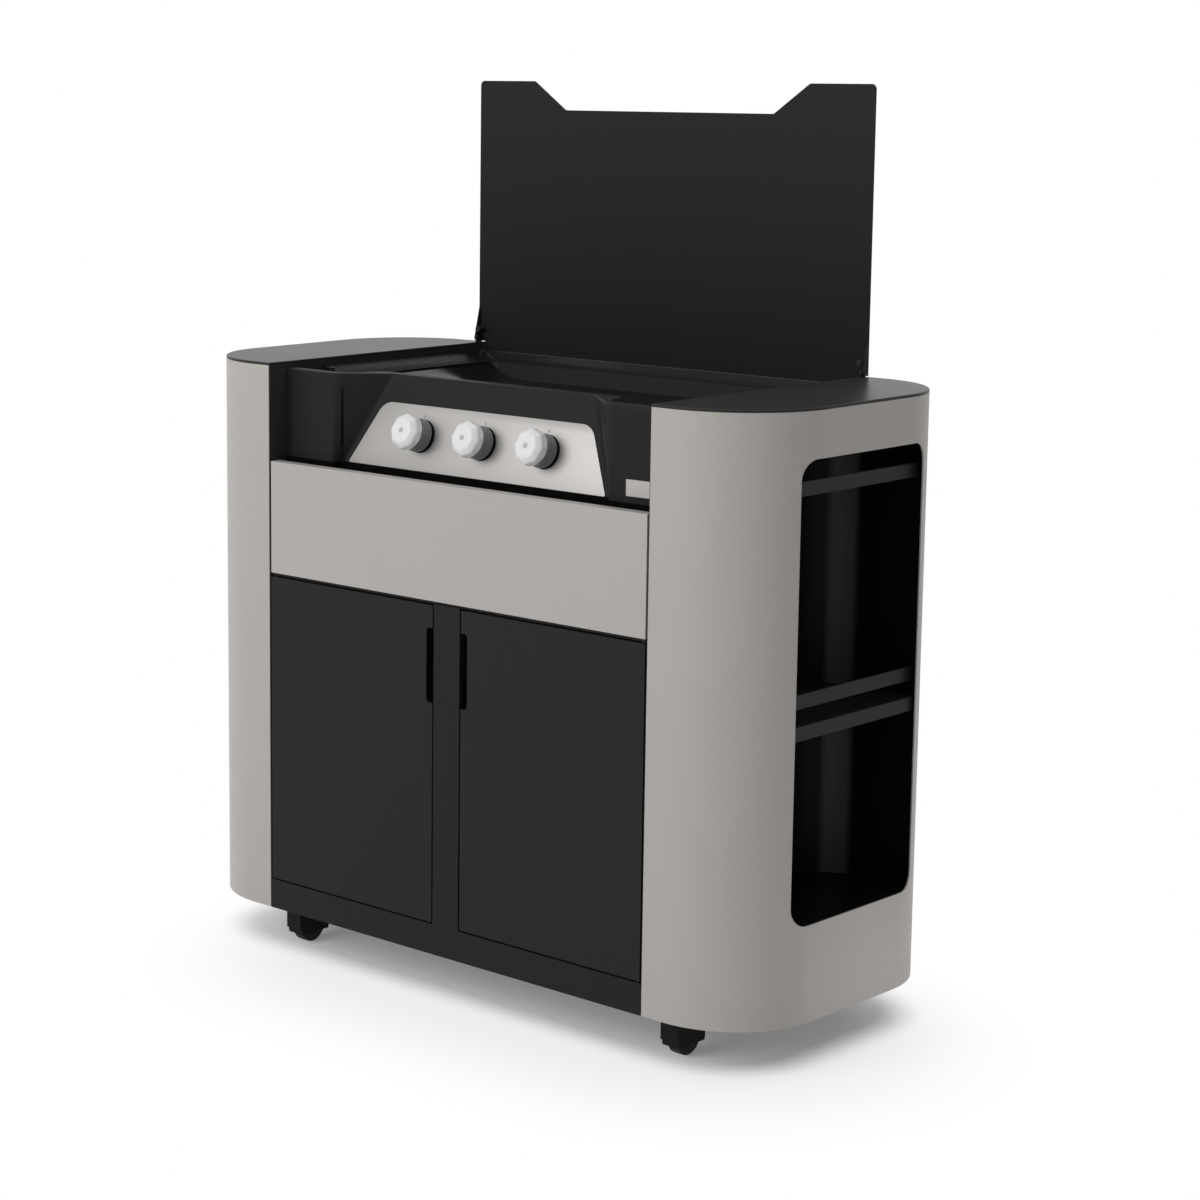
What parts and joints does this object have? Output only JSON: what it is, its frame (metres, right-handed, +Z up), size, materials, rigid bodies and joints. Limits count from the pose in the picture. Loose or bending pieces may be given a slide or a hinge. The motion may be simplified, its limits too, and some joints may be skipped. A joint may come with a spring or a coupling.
{
  "type": "outdoor gas griddle station",
  "caption": "Outdoor gas griddle station with round-ended side pods, open end bays, folding lid, control knobs, drawer, doors and swivel casters.",
  "frame": {"origin": "on the floor under the middle of the station, halfway between its ends and between its front and back planes", "axes": "+X towards the right end as the user sees it, -Y towards the user, +Z up"},
  "size_m": [1.088, 0.478, 1.323],
  "materials": {
    "grey_paint": "satin warm grey powder coat",
    "counter_paint": "semi-gloss charcoal counter",
    "black_paint": "matt black powder coat",
    "door_paint": "matt charcoal powder coat",
    "griddle_paint": "matt black heat-proof paint",
    "satin_plate": "bead-blasted plate",
    "seasoned_steel": "oiled, half-gloss",
    "burner_steel": "stainless tube",
    "aluminium_pipe": "mill finish",
    "zinc_steel": "zinc plated",
    "brass": "turned brass",
    "ceramic": "white ceramic",
    "white_knob": "silver-white cap on a grey skirt",
    "black_plastic": "black nylon",
    "black_rubber": "soft black rubber"
  },
  "bodies": {
    "cabinet": {"left_side_shell": "grey_paint", "left_top_panel": "counter_paint", "left_inner_wall": "black_paint", "left_bay_liner": "black_paint", "left_bay_plates": "black_paint", "left_shelf": "black_paint", "left_bay_rails": "black_paint", "right_side_shell": "grey_paint", "right_top_panel": "counter_paint", "right_inner_wall": "black_paint", "right_bay_liner": "black_paint", "right_bay_plates": "black_paint", "right_shelf": "black_paint", "right_bay_rails": "black_paint", "base_plate": "black_paint", "front_frame": "black_paint", "cabinet_floor": "black_paint", "cabinet_back": "black_paint", "drawer_divider": "black_paint", "griddle_deck": "black_paint", "griddle_front": "griddle_paint", "control_plate": "satin_plate", "name_plate": "satin_plate", "knob_bezels": "black_plastic", "gas_valves": "brass", "gas_manifold": "aluminium_pipe", "griddle_surround": "griddle_paint", "cooktop": "seasoned_steel", "burner_box": "black_paint", "burners": "burner_steel", "igniters": "ceramic", "grease_chute": "burner_steel", "cup_rails": "black_paint", "lid_brackets": "black_paint", "drawer_runners": "zinc_steel", "caster_plates": "zinc_steel"},
    "lid": {"lid_panel": "griddle_paint", "lid_bumpers": "black_rubber"},
    "drawer": {"drawer_front": "grey_paint", "drawer_box": "black_paint", "drawer_slides": "zinc_steel"},
    "grease_tray": {"grease_cup": "zinc_steel"},
    "left_door_leaf": {"left_door": "door_paint", "left_door_liner": "black_paint"},
    "right_door_leaf": {"right_door": "door_paint", "right_door_liner": "black_paint"},
    "left_knob_carrier": {"left_knob_washer": "zinc_steel"},
    "left_knob_turn_body": {"left_knob": "white_knob"},
    "centre_knob_carrier": {"centre_knob_washer": "zinc_steel"},
    "centre_knob_turn_body": {"centre_knob": "white_knob"},
    "right_knob_carrier": {"right_knob_washer": "zinc_steel"},
    "right_knob_turn_body": {"right_knob": "white_knob"},
    "left_front_swivel": {"left_front_caster_hood": "black_plastic"},
    "left_front_wheel": {"left_front_caster_wheel": "black_rubber"},
    "left_rear_swivel": {"left_rear_caster_hood": "black_plastic"},
    "left_rear_wheel": {"left_rear_caster_wheel": "black_rubber"},
    "right_front_swivel": {"right_front_caster_hood": "black_plastic"},
    "right_front_wheel": {"right_front_caster_wheel": "black_rubber"},
    "right_rear_swivel": {"right_rear_caster_hood": "black_plastic"},
    "right_rear_wheel": {"right_rear_caster_wheel": "black_rubber"}
  },
  "joints": [
    {"name": "lid_hinge", "type": "hinge", "parent": "cabinet", "child": "lid", "pos_m": [0, 0.23, 0.9165], "axis": [1, 0, 0], "range_deg": [0, 90]},
    {"name": "left_door_hinge", "type": "hinge", "parent": "cabinet", "child": "left_door_leaf", "pos_m": [-0.355, -0.233, 0.354], "axis": [0, 0, -1], "range_deg": [0, 110]},
    {"name": "right_door_hinge", "type": "hinge", "parent": "cabinet", "child": "right_door_leaf", "pos_m": [0.355, -0.233, 0.354], "axis": [0, 0, 1], "range_deg": [0, 110]},
    {"name": "drawer_slide", "type": "slide", "parent": "cabinet", "child": "drawer", "axis": [0, -1, 0], "range_m": [0, 0.28]},
    {"name": "grease_cup_slide", "type": "slide", "parent": "cabinet", "child": "grease_tray", "axis": [0, 1, 0], "range_m": [0, 0.1]},
    {"name": "left_knob_push", "type": "slide", "parent": "cabinet", "child": "left_knob_carrier", "axis": [0, 0.956, -0.2933], "range_m": [0, 0.003], "stiffness_N_per_m": 800},
    {"name": "left_knob_turn", "type": "hinge", "parent": "left_knob_carrier", "child": "left_knob_turn_body", "pos_m": [-0.1115, -0.17304, 0.81676], "axis": [0, -0.956, 0.2933], "range_deg": [0, 210]},
    {"name": "centre_knob_push", "type": "slide", "parent": "cabinet", "child": "centre_knob_carrier", "axis": [0, 0.956, -0.2933], "range_m": [0, 0.003], "stiffness_N_per_m": 800},
    {"name": "centre_knob_turn", "type": "hinge", "parent": "centre_knob_carrier", "child": "centre_knob_turn_body", "pos_m": [0.0075, -0.17304, 0.81676], "axis": [0, -0.956, 0.2933], "range_deg": [0, 210]},
    {"name": "right_knob_push", "type": "slide", "parent": "cabinet", "child": "right_knob_carrier", "axis": [0, 0.956, -0.2933], "range_m": [0, 0.003], "stiffness_N_per_m": 800},
    {"name": "right_knob_turn", "type": "hinge", "parent": "right_knob_carrier", "child": "right_knob_turn_body", "pos_m": [0.1265, -0.17304, 0.81676], "axis": [0, -0.956, 0.2933], "range_deg": [0, 210]},
    {"name": "left_front_caster_swivel", "type": "hinge", "parent": "cabinet", "child": "left_front_swivel", "pos_m": [-0.371, -0.166, 0.06], "axis": [0, 0, 1], "continuous": true},
    {"name": "left_front_wheel_spin", "type": "hinge", "parent": "left_front_swivel", "child": "left_front_wheel", "pos_m": [-0.371, -0.152, 0.025], "axis": [1, 0, 0], "continuous": true},
    {"name": "left_rear_caster_swivel", "type": "hinge", "parent": "cabinet", "child": "left_rear_swivel", "pos_m": [-0.371, 0.166, 0.06], "axis": [0, 0, 1], "continuous": true},
    {"name": "left_rear_wheel_spin", "type": "hinge", "parent": "left_rear_swivel", "child": "left_rear_wheel", "pos_m": [-0.371, 0.18, 0.025], "axis": [1, 0, 0], "continuous": true},
    {"name": "right_front_caster_swivel", "type": "hinge", "parent": "cabinet", "child": "right_front_swivel", "pos_m": [0.371, -0.166, 0.06], "axis": [0, 0, 1], "continuous": true},
    {"name": "right_front_wheel_spin", "type": "hinge", "parent": "right_front_swivel", "child": "right_front_wheel", "pos_m": [0.371, -0.152, 0.025], "axis": [1, 0, 0], "continuous": true},
    {"name": "right_rear_caster_swivel", "type": "hinge", "parent": "cabinet", "child": "right_rear_swivel", "pos_m": [0.371, 0.166, 0.06], "axis": [0, 0, 1], "continuous": true},
    {"name": "right_rear_wheel_spin", "type": "hinge", "parent": "right_rear_swivel", "child": "right_rear_wheel", "pos_m": [0.371, 0.18, 0.025], "axis": [1, 0, 0], "continuous": true}
  ]
}
